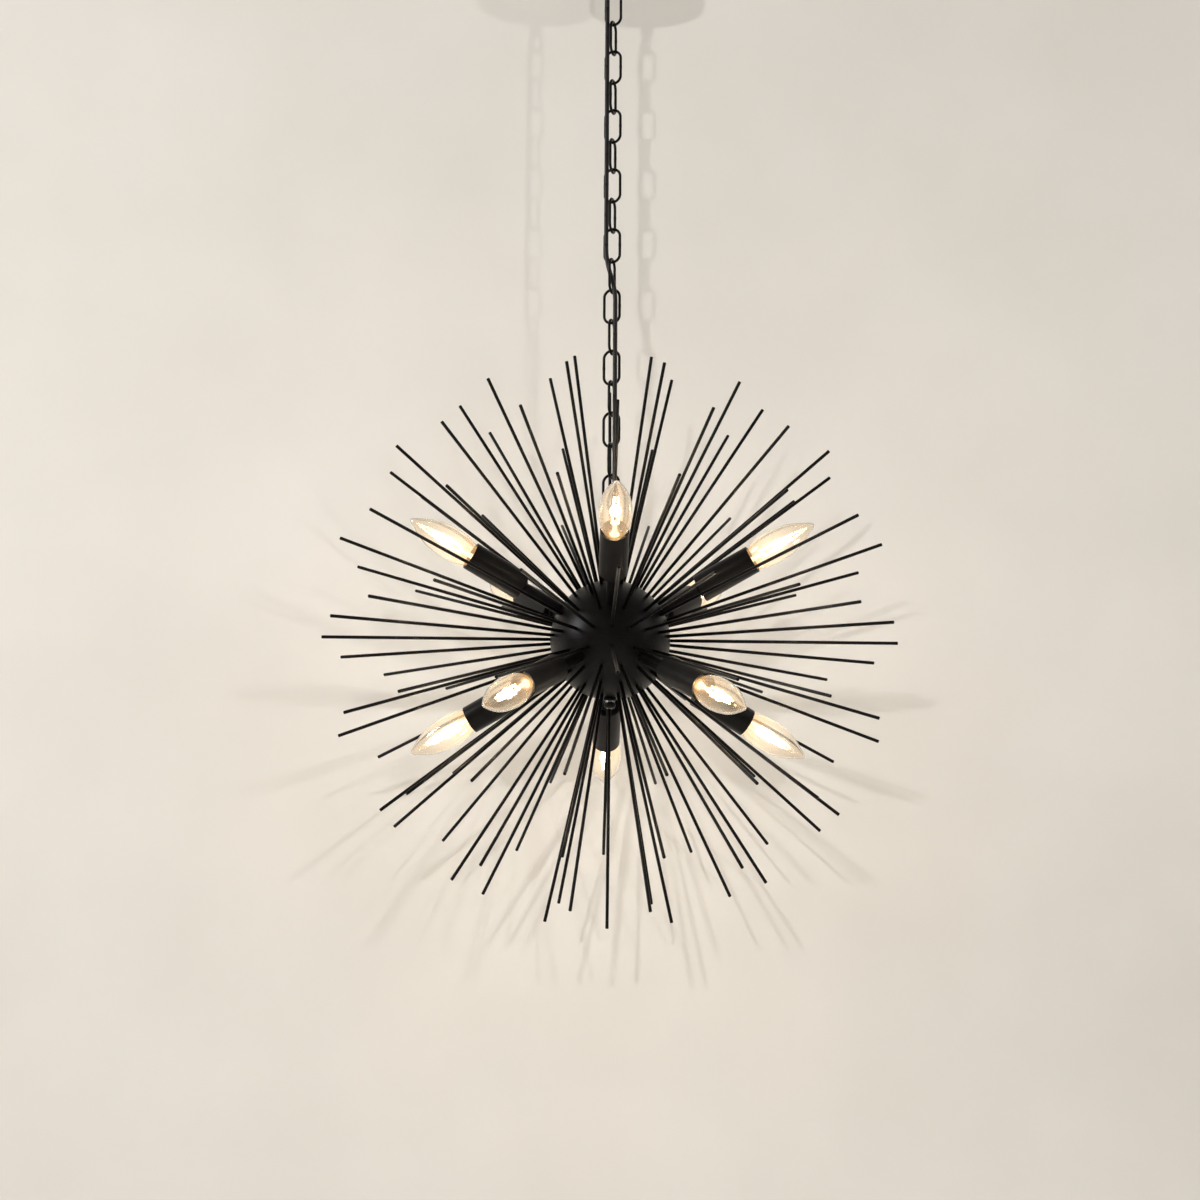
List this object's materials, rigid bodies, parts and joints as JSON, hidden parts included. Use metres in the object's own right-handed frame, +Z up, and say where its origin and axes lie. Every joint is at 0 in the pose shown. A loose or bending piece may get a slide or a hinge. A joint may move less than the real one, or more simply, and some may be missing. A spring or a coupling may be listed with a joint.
{
  "type": "sputnik chandelier",
  "caption": "Sputnik chandelier: a round hub bristling with thin radial rods and candle bulbs in cylindrical cups, hung on a chain from a round canopy.",
  "frame": {"origin": "middle of the ceiling strap's top face, on the ceiling plane, which the canopy's rim also meets", "axes": "+Z up out of the ceiling, -Y towards the viewer of the picture, +X to that viewer's right"},
  "size_m": [0.61, 0.61, 1.1297],
  "materials": {
    "black_metal": "satin black powder coat",
    "black_iron": "black finished steel wire",
    "zinc_steel": "zinc plated",
    "nickel_brass": "nickel plated brass",
    "clear_glass": "clear blown glass",
    "phenolic": "black moulded",
    "ceramic_block": "unglazed",
    "black_pvc": "black cord jacket"
  },
  "bodies": {
    "ceiling_fitting": {"ceiling_strap": "zinc_steel", "ceiling_screws": "zinc_steel", "mounting_nipple": "zinc_steel", "nipple_nuts": "zinc_steel", "canopy": "black_metal", "canopy_loop": "black_metal", "power_cord": "black_pvc"},
    "link_18": {"chain_link_18": "black_iron"},
    "link_17": {"chain_link_17": "black_iron"},
    "link_16": {"chain_link_16": "black_iron"},
    "link_15": {"chain_link_15": "black_iron"},
    "link_14": {"chain_link_14": "black_iron"},
    "link_13": {"chain_link_13": "black_iron"},
    "link_12": {"chain_link_12": "black_iron"},
    "link_11": {"chain_link_11": "black_iron"},
    "link_10": {"chain_link_10": "black_iron"},
    "link_09": {"chain_link_09": "black_iron"},
    "link_08": {"chain_link_08": "black_iron"},
    "link_07": {"chain_link_07": "black_iron"},
    "link_06": {"chain_link_06": "black_iron"},
    "link_05": {"chain_link_05": "black_iron"},
    "link_04": {"chain_link_04": "black_iron"},
    "link_03": {"chain_link_03": "black_iron"},
    "link_02": {"chain_link_02": "black_iron"},
    "link_01": {"chain_link_01": "black_iron"},
    "chandelier": {"ball_loop": "black_metal", "centre_tube": "zinc_steel", "centre_tube_nuts": "zinc_steel", "junction_block": "ceramic_block", "ball_upper_shell": "black_metal", "ball_lower_shell": "black_metal", "bottom_finial": "black_metal", "radial_rods": "black_metal", "arm_tubes": "black_metal", "arm_nuts": "zinc_steel", "socket_cups": "black_metal", "lampholders": "phenolic", "lampholder_shells": "nickel_brass", "lampholder_contacts": "nickel_brass", "lampholder_leads": "black_pvc"},
    "bulb_01": {"bulb_glass_01": "clear_glass", "bulb_base_01": "nickel_brass"},
    "bulb_02": {"bulb_glass_02": "clear_glass", "bulb_base_02": "nickel_brass"},
    "bulb_03": {"bulb_glass_03": "clear_glass", "bulb_base_03": "nickel_brass"},
    "bulb_04": {"bulb_glass_04": "clear_glass", "bulb_base_04": "nickel_brass"},
    "bulb_05": {"bulb_glass_05": "clear_glass", "bulb_base_05": "nickel_brass"},
    "bulb_06": {"bulb_glass_06": "clear_glass", "bulb_base_06": "nickel_brass"},
    "bulb_07": {"bulb_glass_07": "clear_glass", "bulb_base_07": "nickel_brass"},
    "bulb_08": {"bulb_glass_08": "clear_glass", "bulb_base_08": "nickel_brass"},
    "bulb_09": {"bulb_glass_09": "clear_glass", "bulb_base_09": "nickel_brass"},
    "bulb_10": {"bulb_glass_10": "clear_glass", "bulb_base_10": "nickel_brass"}
  },
  "joints": [
    {"name": "link_18_swing", "type": "hinge", "parent": "ceiling_fitting", "child": "link_18", "pos_m": [0, 0, -0.07485], "axis": [0.342, 0.9397, 0], "range_deg": [-6, 6], "deforming": ["power_cord"]},
    {"name": "link_17_swing", "type": "hinge", "parent": "link_18", "child": "link_17", "pos_m": [0, 0, -0.10955], "axis": [0.9397, -0.342, 0], "range_deg": [-6, 6], "deforming": ["power_cord"]},
    {"name": "link_16_swing", "type": "hinge", "parent": "link_17", "child": "link_16", "pos_m": [0, 0, -0.14455], "axis": [0.342, 0.9397, 0], "range_deg": [-6, 6], "deforming": ["power_cord"]},
    {"name": "link_15_swing", "type": "hinge", "parent": "link_16", "child": "link_15", "pos_m": [0, 0, -0.17955], "axis": [0.9397, -0.342, 0], "range_deg": [-6, 6], "deforming": ["power_cord"]},
    {"name": "link_14_swing", "type": "hinge", "parent": "link_15", "child": "link_14", "pos_m": [0, 0, -0.21455], "axis": [0.342, 0.9397, 0], "range_deg": [-6, 6], "deforming": ["power_cord"]},
    {"name": "link_13_swing", "type": "hinge", "parent": "link_14", "child": "link_13", "pos_m": [0, 0, -0.24955], "axis": [0.9397, -0.342, 0], "range_deg": [-6, 6], "deforming": ["power_cord"]},
    {"name": "link_12_swing", "type": "hinge", "parent": "link_13", "child": "link_12", "pos_m": [0, 0, -0.28455], "axis": [0.342, 0.9397, 0], "range_deg": [-6, 6], "deforming": ["power_cord"]},
    {"name": "link_11_swing", "type": "hinge", "parent": "link_12", "child": "link_11", "pos_m": [0, 0, -0.31955], "axis": [0.9397, -0.342, 0], "range_deg": [-6, 6], "deforming": ["power_cord"]},
    {"name": "link_10_swing", "type": "hinge", "parent": "link_11", "child": "link_10", "pos_m": [0, 0, -0.35455], "axis": [0.342, 0.9397, 0], "range_deg": [-6, 6], "deforming": ["power_cord"]},
    {"name": "link_09_swing", "type": "hinge", "parent": "link_10", "child": "link_09", "pos_m": [0, 0, -0.38955], "axis": [0.9397, -0.342, 0], "range_deg": [-6, 6], "deforming": ["power_cord"]},
    {"name": "link_08_swing", "type": "hinge", "parent": "link_09", "child": "link_08", "pos_m": [0, 0, -0.42455], "axis": [0.342, 0.9397, 0], "range_deg": [-6, 6], "deforming": ["power_cord"]},
    {"name": "link_07_swing", "type": "hinge", "parent": "link_08", "child": "link_07", "pos_m": [0, 0, -0.45955], "axis": [0.9397, -0.342, 0], "range_deg": [-6, 6], "deforming": ["power_cord"]},
    {"name": "link_06_swing", "type": "hinge", "parent": "link_07", "child": "link_06", "pos_m": [0, 0, -0.49455], "axis": [0.342, 0.9397, 0], "range_deg": [-6, 6], "deforming": ["power_cord"]},
    {"name": "link_05_swing", "type": "hinge", "parent": "link_06", "child": "link_05", "pos_m": [0, 0, -0.52955], "axis": [0.9397, -0.342, 0], "range_deg": [-6, 6], "deforming": ["power_cord"]},
    {"name": "link_04_swing", "type": "hinge", "parent": "link_05", "child": "link_04", "pos_m": [0, 0, -0.56455], "axis": [0.342, 0.9397, 0], "range_deg": [-6, 6], "deforming": ["power_cord"]},
    {"name": "link_03_swing", "type": "hinge", "parent": "link_04", "child": "link_03", "pos_m": [0, 0, -0.59955], "axis": [0.9397, -0.342, 0], "range_deg": [-6, 6], "deforming": ["power_cord"]},
    {"name": "link_02_swing", "type": "hinge", "parent": "link_03", "child": "link_02", "pos_m": [0, 0, -0.63455], "axis": [0.342, 0.9397, 0], "range_deg": [-6, 6], "deforming": ["power_cord"]},
    {"name": "link_01_swing", "type": "hinge", "parent": "link_02", "child": "link_01", "pos_m": [0, 0, -0.66955], "axis": [0.9397, -0.342, 0], "range_deg": [-6, 6], "deforming": ["power_cord"]},
    {"name": "chandelier_swing", "type": "hinge", "parent": "link_01", "child": "chandelier", "pos_m": [0, 0, -0.70455], "axis": [0.342, 0.9397, 0], "range_deg": [-6, 6], "deforming": ["power_cord"]},
    {"name": "bulb_01_unscrew", "type": "slide", "parent": "chandelier", "child": "bulb_01", "axis": [0, -0.8944, 0.4472], "range_m": [0, 0.03]},
    {"name": "bulb_02_unscrew", "type": "slide", "parent": "chandelier", "child": "bulb_02", "axis": [0.8507, -0.2764, 0.4472], "range_m": [0, 0.03]},
    {"name": "bulb_03_unscrew", "type": "slide", "parent": "chandelier", "child": "bulb_03", "axis": [0.5257, 0.7236, 0.4472], "range_m": [0, 0.03]},
    {"name": "bulb_04_unscrew", "type": "slide", "parent": "chandelier", "child": "bulb_04", "axis": [-0.5257, 0.7236, 0.4472], "range_m": [0, 0.03]},
    {"name": "bulb_05_unscrew", "type": "slide", "parent": "chandelier", "child": "bulb_05", "axis": [-0.8507, -0.2764, 0.4472], "range_m": [0, 0.03]},
    {"name": "bulb_06_unscrew", "type": "slide", "parent": "chandelier", "child": "bulb_06", "axis": [0.5257, -0.7236, -0.4472], "range_m": [0, 0.03]},
    {"name": "bulb_07_unscrew", "type": "slide", "parent": "chandelier", "child": "bulb_07", "axis": [0.8507, 0.2764, -0.4472], "range_m": [0, 0.03]},
    {"name": "bulb_08_unscrew", "type": "slide", "parent": "chandelier", "child": "bulb_08", "axis": [0, 0.8944, -0.4472], "range_m": [0, 0.03]},
    {"name": "bulb_09_unscrew", "type": "slide", "parent": "chandelier", "child": "bulb_09", "axis": [-0.8507, 0.2764, -0.4472], "range_m": [0, 0.03]},
    {"name": "bulb_10_unscrew", "type": "slide", "parent": "chandelier", "child": "bulb_10", "axis": [-0.5257, -0.7236, -0.4472], "range_m": [0, 0.03]}
  ]
}
